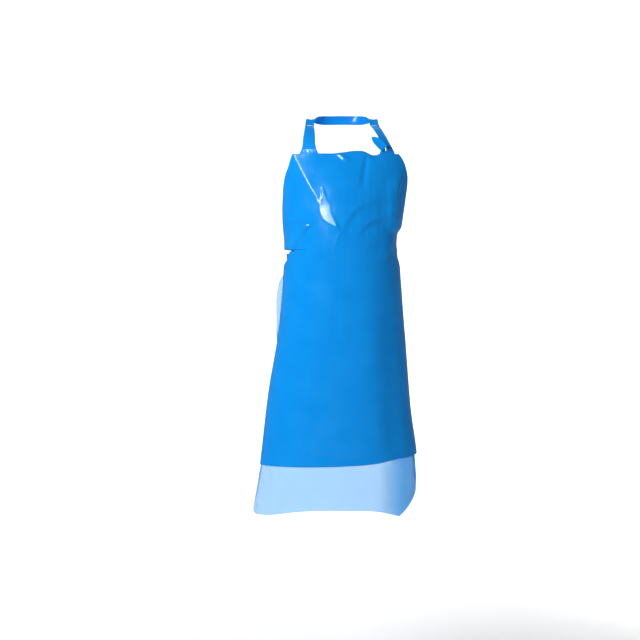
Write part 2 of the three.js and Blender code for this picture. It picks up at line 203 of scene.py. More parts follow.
def gathered(worn, levels, columns, inset=0.0):
    """Distances along the film of each row's columns, with the left edge drawn in at the waist."""
    left, right = worn.uncut_edge(levels, 0), worn.edge(levels, 1)
    distance = np.where(columns < 0, -left[:, None], right[:, None]) * columns
    heights, edges = [], []
    for above, x in NOTCH:
        z = waist_z + above
        heights.append(z)
        edges.append(worn.uncut_edge(z, 0) if x is None else worn.distance_at(z, x) + inset)
    for row, z in enumerate(levels):
        if heights[-1] < z < heights[0]:
            edge = -np.interp(-z, -np.array(heights), edges)
            outer = distance[row] < -NOTCH_INNER
            share = (edge - NOTCH_INNER) / (-left[row] - NOTCH_INNER)
            distance[row, outer] = -NOTCH_INNER + (distance[row, outer] + NOTCH_INNER) * share
    return distance


def sheet_levels(high, low):
    """The rows of a sheet, with some just where the notch turns."""
    near = waist_z + np.array([above for above, _ in NOTCH])
    levels = np.linspace(high, low, int((high - low) / ROW) + 1)
    kept = [z for z in levels if np.abs(near - z).min() > NOTCH_ROOM]
    return np.sort(np.concatenate([kept, near]))[::-1]


def curve_through(points, share):
    """A smooth curve through a few (place, value) pairs."""
    xs, ys = np.array(points, float).T
    slopes = np.gradient(ys, xs)
    i = np.clip(np.searchsorted(xs, share) - 1, 0, len(xs) - 2)
    span = xs[i + 1] - xs[i]
    t = np.clip((share - xs[i]) / span, 0, 1)
    start, end = slopes[i] * span, slopes[i + 1] * span
    return (ys[i] * (2 * t ** 3 - 3 * t ** 2 + 1) + start * (t ** 3 - 2 * t ** 2 + t)
            + ys[i + 1] * (3 * t ** 2 - 2 * t ** 3) + end * (t ** 3 - t ** 2))


# Landmarks of the frame
bib_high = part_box("bib_panel")[1]
panel_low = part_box("skirt_panel")[0].z
liner_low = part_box("skirt_liner")[0].z
band_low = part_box("hem_band")[0]
tie_low, tie_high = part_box("waist_tie_left")
knot_low, knot_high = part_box("bow_knot")
joint_at = {j["name"]: Vector(j["pos_m"]) for j in frame["joints"] if "pos_m" in j}
hip = joint_at["skirt_swing"]
hem_line = joint_at["band_swing"]
shoulder = joint_at["bib_swing"]
waist_z = (tie_low.z + tie_high.z) / 2
bib_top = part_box("bib_liner")[1].z + 4 * MM  # the opaque bib's top edge, just above the liner's
hip_gap = (hip.z - 2 * MM, hip.z + 56 * MM)  # levels at which bib and skirt lap, which aren't read

panel_worn = Worn(["bib_panel", "skirt_panel"], panel_low + MM, bib_top - MM, hip_gap)
liner_worn = Worn(["bib_liner", "skirt_liner"], liner_low + MM, bib_top - 6 * MM, hip_gap)
band_worn = Worn(["hem_band"], band_low.z + MM, band_low.z + 110 * MM)


# ---- Meshes of film ----

def normals_of(rows):
    """Outward normals of a grid of points that runs down and to the viewer's right."""
    down = np.gradient(rows, axis=0)
    across = np.gradient(rows, axis=1)
    normal = np.cross(down, across)
    return normal / np.maximum(np.linalg.norm(normal, axis=2, keepdims=True), TINY)


def make_mesh(name, points, quads, material):
    """A new piece in the scene, with one material."""
    mesh = bpy.data.meshes.new(name)
    mesh.from_pydata([tuple(p) for p in points], [], quads)
    piece = bpy.data.objects.new(name, mesh)
    bpy.context.scene.collection.objects.link(piece)
    mesh.materials.append(material)
    return piece


def grid_mesh(name, grids, material, left_out=()):
    """One mesh from grids of points, joined wherever their edges meet."""
    points, quads = [], []
    for g, rows in enumerate(grids):
        start, (height, width) = len(points), rows.shape[:2]
        points.extend(rows.reshape(-1, 3))
        for r in range(height - 1):
            for c in range(width - 1):
                if (g, r, c) not in left_out:
                    a = start + r * width + c
                    quads.append((a, a + width, a + width + 1, a + 1))
    piece = make_mesh(name, points, quads, material)
    made = bmesh.new()
    made.from_mesh(piece.data)
    bmesh.ops.remove_doubles(made, verts=made.verts, dist=JOIN)
    loose = [v for v in made.verts if not v.link_faces]
    bmesh.ops.delete(made, geom=loose, context="VERTS")
    made.to_mesh(piece.data)
    made.free()
    return piece


def finish_film(piece, thickness, levels=1):
    """Smooths a sheet of film by so many levels, thickens it, and applies both."""
    bpy.context.view_layer.objects.active = piece
    if levels:
        smooth = piece.modifiers.new("smooth", "SUBSURF")
        smooth.levels = smooth.render_levels = levels
        bpy.ops.object.modifier_apply(modifier=smooth.name)
    shell = piece.modifiers.new("thickness", "SOLIDIFY")
    shell.thickness = thickness
    shell.offset = 0
    shell.use_even_offset = False
    bpy.ops.object.modifier_apply(modifier=shell.name)
    piece.data.polygons.foreach_set("use_smooth", [True] * len(piece.data.polygons))
    piece.data.update()
    return piece


# ---- Materials ----

def new_material(name):
    """A material with its node tree and its main shader."""
    material = bpy.data.materials.new(name)
    material.use_nodes = True
    shader = material.node_tree.nodes["Principled BSDF"]
    return material, material.node_tree, shader


def add_node(tree, kind, inputs=None, **settings):
    """A new node. An input that is another node's output is linked, and any other is set."""
    node = tree.nodes.new(kind)
    for key, value in settings.items():
        setattr(node, key, value)
    for key, value in (inputs or {}).items():
        if isinstance(value, bpy.types.NodeSocket):
            tree.links.new(value, node.inputs[key])
        else:
            node.inputs[key].default_value = value
    return node


def ramp(tree, factor, stops):
    """A colour that changes with a factor, by (place, colour) stops."""
    node = add_node(tree, "ShaderNodeValToRGB", {"Fac": factor})
    points = node.color_ramp.elements
    while len(points) < len(stops):
        points.new(0.5)
    for point, (place, colour) in zip(points, stops):
        point.position = place
        point.color = (*colour, 1)
    return node.outputs["Color"]


FILM_IOR = 1.42
TIE_IOR = 1.5
WAVE_SCALE = 16
DIE_LINE_SCALE = (260, 260, 5)  # close together across the film, and long down it
GRAIN_SCALE = 900
WAVE_RELIEF = 6 * MM
DIE_LINE_RELIEF = 0.12 * MM
GRAIN_RELIEF = 0.04 * MM
GRAIN_STRENGTH = 0.25
GLOW = 0.4  # share of the clear film's look that is light from behind
COVER = 0.44  # how far each face of the clear film hides what is behind it
EDGE_COVER = 0.28  # what is added at its edge at the viewer's right, where it turns away
EDGE_FROM, EDGE_TO = 0.11, 0.19  # x over which that is added


def film_surface(tree, shader, roughness, relief):
    """Faint waves, die lines and haze, as blown film has. Gives the haze, and the place on the film."""
    place = add_node(tree, "ShaderNodeTexCoord").outputs["Object"]
    waves = add_node(tree, "ShaderNodeTexNoise", {"Vector": place, "Scale": WAVE_SCALE, "Detail": 3})
    stretched = add_node(tree, "ShaderNodeMapping", {"Vector": place, "Scale": DIE_LINE_SCALE})
    lines = add_node(tree, "ShaderNodeTexNoise", {"Vector": stretched.outputs[0], "Scale": 1, "Detail": 2})
    grain = add_node(tree, "ShaderNodeTexNoise", {"Vector": place, "Scale": GRAIN_SCALE, "Detail": 2})
    rough = add_node(tree, "ShaderNodeMapRange", {
        "Value": waves.outputs["Fac"], "From Min": 0.3, "From Max": 0.7,
        "To Min": roughness - 0.05, "To Max": roughness + 0.06,
    })
    tree.links.new(rough.outputs[0], shader.inputs["Roughness"])
    first = add_node(tree, "ShaderNodeBump", {
        "Height": waves.outputs["Fac"], "Strength": relief, "Distance": WAVE_RELIEF,
    })
    second = add_node(tree, "ShaderNodeBump", {
        "Height": lines.outputs["Fac"], "Strength": relief, "Distance": DIE_LINE_RELIEF,
        "Normal": first.outputs["Normal"],
    })
    third = add_node(tree, "ShaderNodeBump", {
        "Height": grain.outputs["Fac"], "Strength": GRAIN_STRENGTH, "Distance": GRAIN_RELIEF,
        "Normal": second.outputs["Normal"],
    })
    tree.links.new(third.outputs["Normal"], shader.inputs["Normal"])
    return waves.outputs["Fac"], place


def coloured_film(name, roughness, relief, stops, ior):
    """A glossy film whose colour varies a little with its haze."""
    material, tree, shader = new_material(name)
    haze, place = film_surface(tree, shader, roughness, relief)
    colour = ramp(tree, haze, stops)
    tree.links.new(colour, shader.inputs["Base Color"])
    shader.inputs["IOR"].default_value = ior
    return material, tree, shader, colour, place


def opaque_film():
    """The blue film of the front, the neck strap and its free end."""
    stops = [(0.25, (0.001, 0.28, 0.84)), (0.75, (0.002, 0.31, 0.885))]
    return coloured_film("opaque_blue_film", 0.17, 0.1, stops, FILM_IOR)[0]


def clear_film():
    """Film that shows what is behind it, and glows in the light from behind."""
    stops = [(0.3, (0.0, 0.46, 0.93)), (0.7, (0.005, 0.48, 0.96))]
    material, tree, shader, colour, place = coloured_film("clear_blue_film", 0.2, 0.08, stops, FILM_IOR)
    glow = add_node(tree, "ShaderNodeBsdfTranslucent", {"Color": colour})
    film = add_node(tree, "ShaderNodeMixShader", {
        0: GLOW, 1: shader.outputs["BSDF"], 2: glow.outputs["BSDF"],
    })
    across = add_node(tree, "ShaderNodeSeparateXYZ", {"Vector": place})
    dense = add_node(tree, "ShaderNodeMapRange", {
        "Value": across.outputs["X"], "From Min": EDGE_FROM, "From Max": EDGE_TO,
        "To Min": 0.0, "To Max": EDGE_COVER,
    })
    total = add_node(tree, "ShaderNodeMath", {0: dense.outputs[0], 1: COVER}, operation="ADD")
    clear = add_node(tree, "ShaderNodeBsdfTransparent")
    seen = add_node(tree, "ShaderNodeMixShader", {
        0: total.outputs[0], 1: clear.outputs["BSDF"], 2: film.outputs[0],
    })
    tree.links.new(seen.outputs[0], tree.nodes["Material Output"].inputs["Surface"])
    return material


def tie_film():
    """The gathered film of the ties and the bow, which looks darker and duller."""
    stops = [(0.3, (0.001, 0.2, 0.68)), (0.7, (0.003, 0.3, 0.85))]
    return coloured_film("tie_blue_film", 0.3, 0.3, stops, TIE_IOR)[0]


OPAQUE = opaque_film()
CLEAR = clear_film()
TIE = tie_film()


# ---- Folds of the opaque panel ----
# Places are (x, distance below the bib's top edge) in metres. Heights, depths and widths are in millimetres.

# The glossy crease from the bib's corner: its line, and distances from it at shares of its length
CREASE = [(-0.157, 0.004), (-0.0105, 0.243)]
CREST = [(0, 0), (0.22, -5), (0.37, -7.5), (0.55, -8), (0.64, -15), (0.7, -22), (0.8, -27)]
FACET_RIGHT = [(0.48, 24), (0.6, 18), (0.7, 11), (0.78, 6), (0.9, 3), (1, 0)]
FACET_LEFT = [(0.48, 24), (0.54, 13), (0.64, -14), (0.7, -24), (0.81, -28), (0.9, -16), (1, -1)]
FACET_CENTRE = (-0.052, 0.163)
FACET_SLOPE = (0.2, -0.085)  # how fast the facet comes forward to the viewer's right, and upwards
FACET_FLATNESS = 0.88  # 1 would be quite flat
CREST_SLOPE = 0.13  # how fast the film falls back on both sides of the crest

PUCKER = [(-0.022, -0.002), (0.018, 0.03)]
HIP_FOLD = [(0.163, 0.262), (0.126, 0.338)]
TURN_LINE = [(0.05, 0.19), (0.069, 0.181), (0.114, 0.167), (0.149, 0.165), (0.2, 0.162), (0.238, 0.168)]

# Straight folds: ends, height, width, and the shares of their length over which they fade in and out
STRAIGHT_FOLDS = [
    # The level crease over the pinched flap, and the short one above it
    ([(-0.168, 0.216), (-0.099, 0.2225)], -4.4, 3.6, (-0.05, 0.25), (0.75, 1.04)),
    ([(-0.157, 0.151), (-0.168, 0.208)], -2, 5, (-0.1, 0.2), (0.8, 1.1)),
    # The soft upright fold on the viewer's right of the chest
    ([(0.074, 0.008), (0.057, 0.12)], -3.4, 9, (-0.1, 0.25), (0.6, 1.1)),
    # The light ridge below the glossy crease's tip
    ([(-0.0105, 0.243), (-0.034, 0.318)], 1.0, 4.5, (-0.1, 0.2), (0.6, 1.1)),
]

# Drag folds: points along them, depth and width
DRAG_FOLDS = [
    # Two on the viewer's right of the chest
    ([(0.001, 0.225), (0.041, 0.179), (0.084, 0.157), (0.14, 0.151)], 4.2, 22),
    ([(0.05, 0.245), (0.084, 0.221), (0.112, 0.208), (0.155, 0.204)], 4.2, 11),
    # The faint crease above the hem
    ([(-0.118, 0.928), (-0.049, 0.941), (0.025, 0.949), (0.108, 0.957)], 1.6, 6),
]


def below_top(places):
    """The x and z of places that are given by their distance below the bib's top edge."""
    return [(x, bib_top - down) for x, down in places]


def along_line(x, z, ends):
    """Share of the way along a line, and the distance to its upper right side."""
    (x0, z0), (x1, z1) = ends
    dx, dz = x1 - x0, z1 - z0
    length = math.hypot(dx, dz)
    share = ((x - x0) * dx + (z - z0) * dz) / length ** 2
    off = ((x - x0) * -dz + (z - z0) * dx) / length
    return share, off


def ridge(off, rise, drop):
    """1 on a line, falling to 0 within one distance on its negative side and another on its positive side."""
    return step(-rise * MM, 0, off) * (1 - step(0, drop * MM, off))


def glossy_crease(x, z, forward):
    """The long crease from the bib's corner, which opens into a flat facet and runs out in a point."""
    share, off = along_line(x, z, below_top(CREASE))
    right = np.interp(share, *np.array(FACET_RIGHT).T) * MM
    left = np.interp(share, *np.array(FACET_LEFT).T) * MM
    inside = step(-3 * MM, 2 * MM, off - left) * (1 - step(-2 * MM, 3 * MM, off - right))
    inside = inside * step(0.46, 0.54, share) * (1 - step(0.93, 1, share))
    [(centre_x, centre_z)] = below_top([FACET_CENTRE])
    nearest = np.argmin(np.hypot(x - centre_x, z - centre_z))
    plane = forward.flat[nearest] + FACET_SLOPE[0] * (x - centre_x) + FACET_SLOPE[1] * (z - centre_z)
    facet = FACET_FLATNESS * inside * np.clip(plane - forward, -5 * MM, 6 * MM)
    from_crest = off - np.interp(share, *np.array(CREST).T) * MM
    fall = np.sqrt(from_crest ** 2 + MM ** 2) * bell(from_crest, 34 * MM)
    fall = fall * step(-0.12, -0.02, share) * (1 - step(0.55, 0.68, share))
    return facet - CREST_SLOPE * fall


def straight_fold(x, z, ends, height, width, fade_in, fade_out):
    """A ridge along a line, or a valley where its height is negative."""
    share, off = along_line(x, z, below_top(ends))
    return height * MM * bell(off, width * MM) * step(*fade_in, share) * (1 - step(*fade_out, share))


def drag_fold(x, z, places, depth, width):
    """A fold below a curve: it drops at once under the curve and comes back slowly."""
    points = below_top(places)
    first, last = points[0][0], points[-1][0]
    under = np.maximum(curve_through(points, x) - z, 0) / (width * MM)
    ends = step(first - 12 * MM, first + 35 * MM, x) * (1 - step(last - 15 * MM, last + 25 * MM, x))
    return -depth * MM * ends * under * np.exp(1 - under)


def pucker(x, z):
    """The pucker under the bib's top edge."""
    share, off = along_line(x, z, below_top(PUCKER))
    return 4.2 * MM * bell(off, 7 * MM) * bell(share - 0.45, 0.5)


def pinched_flap(x, z):
    """The flap that is pinched at the left end of the waist, over a slanted crease."""
    share, off = along_line(x, z, [(-0.157, waist_z + 0.02), (-0.098, bib_top - 0.222)])
    flap = 2.5 * MM * step(-2 * MM, 3 * MM, off) * (1 - step(8 * MM, 40 * MM, off))
    crease = 5.6 * MM * bell(off, 3.6 * MM)
    return (flap - crease) * step(-0.2, 0.02, share) * (1 - step(0.86, 1.04, share))


def right_side(x, z):
    """The turn of the bib at the viewer's right, the hollow under it and the fold at the hip."""
    down = bib_top - z
    beyond = x - np.interp(down, *np.array(TURN_LINE).T)
    turn = 8 * MM * ridge(beyond, 45, 12) * step(0.27, 0.22, down) * (1 - step(0.1, 0.05, down))
    hollow = 9 * MM * step(0.13, 0.175, x) * step(0.228, 0.252, down) * step(0.36, 0.27, down)
    share, off = along_line(x, z, below_top(HIP_FOLD))
    hip_fold = 4.5 * MM * ridge(off, 40, 16) * step(-0.2, 0.2, share) * (1 - step(0.6, 1.3, share))
    return turn + hip_fold - hollow


def skirt_fold(x, z):
    """The long soft fold down the right of the skirt."""
    down = bib_top - z
    middle = 0.14 + 0.05 * (down - 0.45)
    return -6 * MM * bell(x - middle, 0.035) * step(0.4, 0.6, down)


def panel_folds(rows):
    """Height of the panel's folds above its smooth worn shape."""
    x, z = rows[..., 0], rows[..., 2]
    height = glossy_crease(x, z, -rows[..., 1])
    for fold in (pucker, pinched_flap, right_side, skirt_fold):
        height += fold(x, z)
    for fold in STRAIGHT_FOLDS:
        height += straight_fold(x, z, *fold)
    for fold in DRAG_FOLDS:
        height += drag_fold(x, z, *fold)
    return height


WAVE_SEED = 3
WAVE_COUNT = 9


def waves(x, z):
    """Broad, shallow unevenness of hanging film."""
    made = np.zeros_like(x)
    turn = np.random.default_rng(WAVE_SEED)
    for _ in range(WAVE_COUNT):
        angle, phase = turn.uniform(-0.5, 0.5), turn.uniform(0, 2 * math.pi)
        length = turn.uniform(0.12, 0.4)
        run = x * math.cos(angle) + z * math.sin(angle) * 0.5
        made += turn.uniform(0.2, 0.7) * MM * length / 0.25 * np.sin(2 * math.pi * run / length + phase)
    return made


# ---- The opaque panel ----

HEM_RISE = [(-1, -8), (-0.3, -2), (0.05, 2), (0.3, 7), (0.55, 18), (0.8, 24), (1, 33)]  # share, mm
HEM_FADE = 0.22  # the hem's rise is spread over this height
TOP_RISE = [(-0.075, 0), (-0.02, 0), (0.03, 7), (0.06, 7), (0.1, -6), (0.115, 0)]  # x, mm
TOP_FADE = 0.035
TOP_SMOOTH = 0.05  # the waves grow over this distance below the top edge
TAB_ROWS = 36
TAB_COLUMNS = 14
HALF_WIDTH = 0.27  # about half of the panel's width
RIGHT_TAB = 2  # place of the right tab among the panel's grids
SLIT_COLUMN = 5  # of the right tab's columns, the one that is left open for the strap's free end
SLIT_ROWS = range(23, 32)


def tab_lines(shares):
    """Left and right tabs of the frame: level by level, their points at shares of the way across."""
    corners = facets(["bib_panel"], ANY_WAY)
    facing = np.cross(corners[:, 1] - corners[:, 0], corners[:, 2] - corners[:, 0])
    facing /= np.linalg.norm(facing, axis=1, keepdims=True)
    corners = corners[facing[:, 1] - facing[:, 2] < -0.5]  # only the tabs' outer faces, forward or up
    levels = np.linspace(bib_high.z - 0.4 * MM, bib_top + 2 * MM, TAB_ROWS)
    tabs = []
    for side in (-1, 1):
        chosen = corners[corners[:, :, 0].mean(axis=1) * side > 0]
        rows = []
        for z in levels:
            points, _ = section(chosen, z)
            points = points[np.argsort(points[:, 0])]
            across = (points[:, 0] - points[0, 0]) / (points[-1, 0] - points[0, 0])
            rows.append([np.interp(shares, across, points[:, k]) for k in range(3)])
        tabs.append(np.array(rows).transpose(0, 2, 1))
    return tabs


def slit_middle():
    """The middle of the slit in the right tab."""
    tab = tab_lines(np.linspace(0, 1, TAB_COLUMNS + 1))[1]
    row = SLIT_ROWS[len(SLIT_ROWS) // 2]
    return (tab[row, SLIT_COLUMN] + tab[row, SLIT_COLUMN + 1]) / 2


def even_columns(low, high):
    """Columns from one share of the panel's half width to another, about evenly spaced."""
    count = max(2, int(round((high - low) * HALF_WIDTH / COLUMN)))
    return np.linspace(low, high, count + 1)


def panel_columns(tabs):
    """The panel's columns, and the four of them at which the tabs' side edges meet its top edge."""
    left_edge, right_edge = panel_worn.edges[0]
    along_top = np.linspace(left_edge, right_edge, 200)
    top_line = panel_worn.at(panel_worn.levels[0], along_top)[:, 0]
    roots = [np.interp((tab[-1, 0, 0], tab[-1, -1, 0]), top_line, along_top) for tab in tabs]
    meets = [d / (-left_edge if d < 0 else right_edge) for root in roots for d in root]
    columns = np.concatenate([
        even_columns(-1, meets[0])[:-1],
        np.linspace(meets[0], meets[1], TAB_COLUMNS + 1)[:-1],
        even_columns(meets[1], meets[2])[:-1],
        np.linspace(meets[2], meets[3], TAB_COLUMNS + 1)[:-1],
        even_columns(meets[3], 1),
    ])
    return columns, meets


def rooted_tab(tab, root):
    """A tab's rows, moved so that its lowest row is the panel's own edge."""
    fade = np.linspace(0, 1, len(tab))[:, None, None] ** 3
    return tab + (root - tab[-1])[None] * fade


def panel_piece():
    """The opaque panel: bib, tabs and skirt as one sheet of film."""
    tabs = tab_lines(np.linspace(0, 1, TAB_COLUMNS + 1))
    columns, meets = panel_columns(tabs)
    levels = sheet_levels(panel_worn.levels[0], panel_worn.levels[-1])
    z = levels[:, None]
    worn = panel_worn.at(np.repeat(z, len(columns), axis=1), gathered(panel_worn, levels, columns))
    lift = panel_folds(worn) + waves(worn[..., 0], worn[..., 2]) * step(0, TOP_SMOOTH, bib_top - z)
    rows = worn + normals_of(worn) * lift[..., None]
    hem_rise = curve_through(HEM_RISE, columns) * MM
    rows[..., 2] += hem_rise * step(panel_low + HEM_FADE, panel_low, z)
    top_x = np.clip(worn[0, :, 0], TOP_RISE[0][0], TOP_RISE[-1][0])
    top_rise = curve_through(TOP_RISE, top_x) * MM
    rows[..., 2] += top_rise * (1 - step(0, TOP_FADE, bib_top - z))
    grids = [rows]
    for tab, meet in zip(tabs, meets[::2]):
        first = int(np.argmin(abs(columns - meet)))
        grids.append(rooted_tab(tab, rows[0, first:first + TAB_COLUMNS + 1]))
    slit = {(RIGHT_TAB, r, SLIT_COLUMN) for r in SLIT_ROWS}
    piece = grid_mesh("apron_panel", grids, OPAQUE, slit)
    return finish_film(piece, FILM, 0)


# ---- The clear liner and band ----

LINER_COLUMNS = 151
LINER_INSET = 4 * MM  # its edge at the notch lies this much inside the panel's
LINER_OVER_HEM = 46 * MM  # it ends this much above the opaque hem's joint
LINER_FOLDS = 0.9  # how far it follows the panel's folds
FLARE = 12 * MM  # its free left edge springs out beyond the panel below the waist


def liner_piece():
    """The clear ply behind the panel, with rippled side edges."""
    levels = sheet_levels(liner_worn.levels[0], hem_line.z + LINER_OVER_HEM)[::2]
    columns = np.linspace(-1, 1, LINER_COLUMNS)
    distance = gathered(liner_worn, levels, columns, LINER_INSET)
    worn = liner_worn.at(np.repeat(levels[:, None], len(columns), axis=1), distance)
    x, z = worn[..., 0], worn[..., 2]
    lift = waves(x, z) * step(0, TOP_SMOOTH, bib_top - z) + panel_folds(worn) * LINER_FOLDS
    ripple = 3 * MM * np.sin(z / 0.045 + 2 * x / 0.1)
    lift += step(0.75, 1, np.abs(columns)) * ripple
    flare = step(-0.25, -0.31, distance) * step(waist_z - 0.02, waist_z - 0.09, z)
    lift += FLARE * flare * step(waist_z - 0.33, waist_z - 0.24, z)
    rows = worn + normals_of(worn) * lift[..., None]
    piece = grid_mesh("apron_liner", [rows], CLEAR)
    return finish_film(piece, CLEAR_FILM, 0)


# The band's lower edge: share of the half width, and height above the band's lowest point in mm
BAND_CORNER = (0.58, -3)
BAND_SIDE = (0.9, 82)
BAND_END = (1, 112)
BAND_EDGE = [(-1, 34), (-0.95, 12), (-0.88, 1), (-0.75, 0), (-0.41, 17), (-0.19, 24), (0.1, 24), (0.31, 19),
             (0.485, 6), BAND_CORNER]
BAND_ROWS = 34
BAND_LAP = 60 * MM  # it laps this far up behind the opaque hem
BAND_BEHIND = 0.6 * MM


def band_outline():
    """The band's columns and its lower edge, with a rounded left corner and a cut right corner."""
    corner, side = BAND_CORNER[0], BAND_SIDE[0]
    columns = np.concatenate([
        np.linspace(-1, corner, 80)[:-1],
        np.linspace(corner, side, 16)[:-1],
        np.linspace(side, 1, 5),
    ])
    curve = curve_through(BAND_EDGE, np.minimum(columns, corner))
    slant = np.interp(columns, *np.array([BAND_CORNER, BAND_SIDE, BAND_END]).T)
    return columns, band_low.z + np.where(columns <= corner, curve, slant) * MM


def band_piece():
    """The clear band below the opaque hem."""
    columns, bottom = band_outline()
    top = hem_line.z + BAND_LAP
    z = top + (bottom - top) * np.linspace(0, 1, BAND_ROWS)[:, None]
    left, right = (liner_worn.edge(hem_line.z + 10 * MM, side) for side in (0, 1))
    distance = np.repeat((columns * np.where(columns < 0, -left, right))[None], BAND_ROWS, axis=0)
    upper = liner_worn.at(np.maximum(z, liner_worn.levels[-1]), distance)
    lower = band_worn.at(np.clip(z, band_worn.levels[-1], band_worn.levels[0]), distance)
    mix = step(liner_worn.levels[-1], band_worn.levels[0], z)[..., None]
    worn = upper * (1 - mix) + lower * mix
    worn[..., 2] = z
    x = worn[..., 0]
    lift = waves(x, z) + panel_folds(worn) - BAND_BEHIND
    lift += 5 * MM * np.sin(x / 0.05 + 1.2) * step(hem_line.z, band_low.z, z)
    rows = worn + normals_of(worn) * lift[..., None]
    piece = grid_mesh("apron_hem_band", [rows], CLEAR)
    return finish_film(piece, CLEAR_FILM, 0)


# ---- Straps, ties and bow ----

STRAP_POINTS = 97
STRAP_WIDTH = 28.5 * MM
STRAP_LAP = 9 * MM  # how far the neck strap laps down over each tab
END_POINTS = 37
END_WIDTH = 25 * MM
TIE_POINTS = 61
TIE_COLUMNS = 17
LOOP_POINTS = 57
LOOP_WIDTH = 20 * MM
BOW_COLUMNS = 15
KNOT_RINGS, KNOT_SPOKES = 33, 49
KNOT_TIP = 0.03  # angle of the first ring from the knot's end
KNOT_PLEATS = 7


def spline(points, count):
    """A smooth path through points, as an array."""
    points = np.array(points, float)
    at = np.append(0, np.cumsum(np.linalg.norm(np.diff(points, axis=0), axis=1)))
    share = np.linspace(0, at[-1], count)
    return np.stack([curve_through(list(zip(at, points[:, k])), share) for k in range(3)], axis=1)


def strip(path, across, width, pleats=0, depth=0.0, columns=9, curl=0.0):
    """Rows of a flat strap along a path. Pleats are small waves across its width."""
    count = len(path)
    forward = np.gradient(path, axis=0)
    forward /= np.linalg.norm(forward, axis=1, keepdims=True)
    across = np.array(across, float)
    across -= (across * forward).sum(axis=1, keepdims=True) * forward
    across /= np.linalg.norm(across, axis=1, keepdims=True)
    normal = np.cross(forward, across)
    place = np.linspace(-0.5, 0.5, columns)
    width = np.broadcast_to(width, count)
    depth = np.broadcast_to(depth, count)
    rows = path[:, None] + across[:, None] * (width[:, None] * place)[..., None]
    wave = np.cos(place * 2 * math.pi * pleats)[None] * depth[:, None] if pleats else 0
    bow = curl * (1 - (2 * place) ** 2)[None]
    return rows + normal[:, None] * (wave + bow + np.zeros((count, columns)))[..., None]


def strap_piece(panel_tabs):
    """The neck strap: flat over the shoulders, on edge round the nape, lapped over the tabs."""
    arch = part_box("neck_strap")[1].z - 6 * MM
    ends = []
    for tab in panel_tabs:
        top, below = tab[0].mean(axis=0), tab[3].mean(axis=0)
        lean = (below - top) / np.linalg.norm(below - top)
        ends.append((top, top + lean * STRAP_LAP + np.array([0, -0.5, 0.7]) * MM))
    (left, left_lap), (right, right_lap) = ends
    over_edge = np.array([0, 0.5, 0.9]) * MM
    points = [
        left_lap, left + over_edge,
        (left[0] * 0.95, shoulder.y * 0.62, arch - 8 * MM), (left[0] * 0.7, shoulder.y * 0.22, -1 * MM),
        (0, 0.4 * MM, 0),
        (right[0] * 0.7, shoulder.y * 0.22, -1 * MM), (right[0] * 0.95, shoulder.y * 0.62, arch - 8 * MM),
        right + over_edge, right_lap,
    ]
    path = spline(points, STRAP_POINTS)
    share = np.linspace(0, 1, STRAP_POINTS)
    stand = step(0.12, 0.42, np.minimum(share, 1 - share)) * math.pi / 2
    hand = np.where(share < 0.5, -1, 1)
    across = np.stack([hand * np.cos(stand), 0 * share, -np.sin(stand)], axis=1)
    rows = strip(path, across, STRAP_WIDTH, curl=-0.8 * MM)
    piece = grid_mesh("apron_neck_strap", [rows[:, ::-1]], OPAQUE)
    return finish_film(piece, FILM, 1)


def tail_piece():
    """The strap's pointed free end, which comes out of the slit in the right-hand tab."""
    low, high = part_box("strap_tail")
    slit = slit_middle()
    start = np.array([high.x - 9 * MM, (low.y + high.y) / 2 + 1.5 * MM, low.z + 9 * MM])
    tip = np.array([low.x + 1 * MM, low.y + 2 * MM, high.z - 6 * MM])
    bulge = (start + tip) / 2 - np.array([0, 3, 0]) * MM
    path = spline([slit + np.array([2, 3, -2]) * MM, slit, start, bulge, tip], END_POINTS)
    out = np.append(0, np.cumsum(np.linalg.norm(np.diff(path, axis=0), axis=1)))
    root = out[-1] - np.linalg.norm(tip - start)
    share = np.clip((out - root) / (out[-1] - root), 0, 1)
    width = END_WIDTH * curve_through([(0, 1), (0.5, 1), (0.75, 0.8), (0.9, 0.45), (1, 0.08)], share)
    width = width * (0.4 + 0.6 * step(0, root + 4 * MM, out))
    lean = step(0, 14 * MM, out) * 0.76
    across = np.stack([np.sin(lean), 0 * out, np.cos(lean)], axis=1)
    rows = strip(path, across, width, curl=1.2 * MM)
    piece = grid_mesh("strap_free_end", [rows], OPAQUE)
    return finish_film(piece, FILM, 1)


def tie_piece(side, hand):
    """A waist tie, gathered, from the film's side edge round to the knot. hand is -1 at the left."""
    low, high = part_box(f"waist_tie_{side}")
    outer = low.x if hand < 0 else high.x
    edge = liner_worn.distance_at(waist_z, -0.171) if hand < 0 else liner_worn.edge(waist_z, 1)
    start = liner_worn.at(np.array([waist_z]), np.array([edge - hand * 10 * MM]))[0]
    knot_end = np.array([hand * 9 * MM, knot_low.y + 3 * MM, waist_z])
    back = high.y - 3 * MM
    points = [
        start,
        (outer * 0.99, low.y + 18 * MM, waist_z),
        (outer * 0.93, (low.y + back) / 2, waist_z - 2 * MM),
        (outer * 0.55, back, waist_z - 3 * MM),
        knot_end,
    ]
    path = spline(points, TIE_POINTS)
    share = np.linspace(0, 1, TIE_POINTS)
    width = curve_through([(0, 13), (0.2, 17), (0.6, 19), (0.85, 16), (1, 10)], share) * MM
    depth = curve_through([(0, 1.6), (0.3, 0.8), (0.6, 0.7), (1, 1.8)], share) * MM
    across = np.stack([0 * share, 0.15 * np.sin(5 * share), hand * np.ones(TIE_POINTS)], axis=1)
    rows = strip(path, across, width, 2.5, depth, TIE_COLUMNS)
    piece = grid_mesh(f"waist_tie_{side}_film", [rows], TIE)
    return finish_film(piece, TIE_FILM, 1)


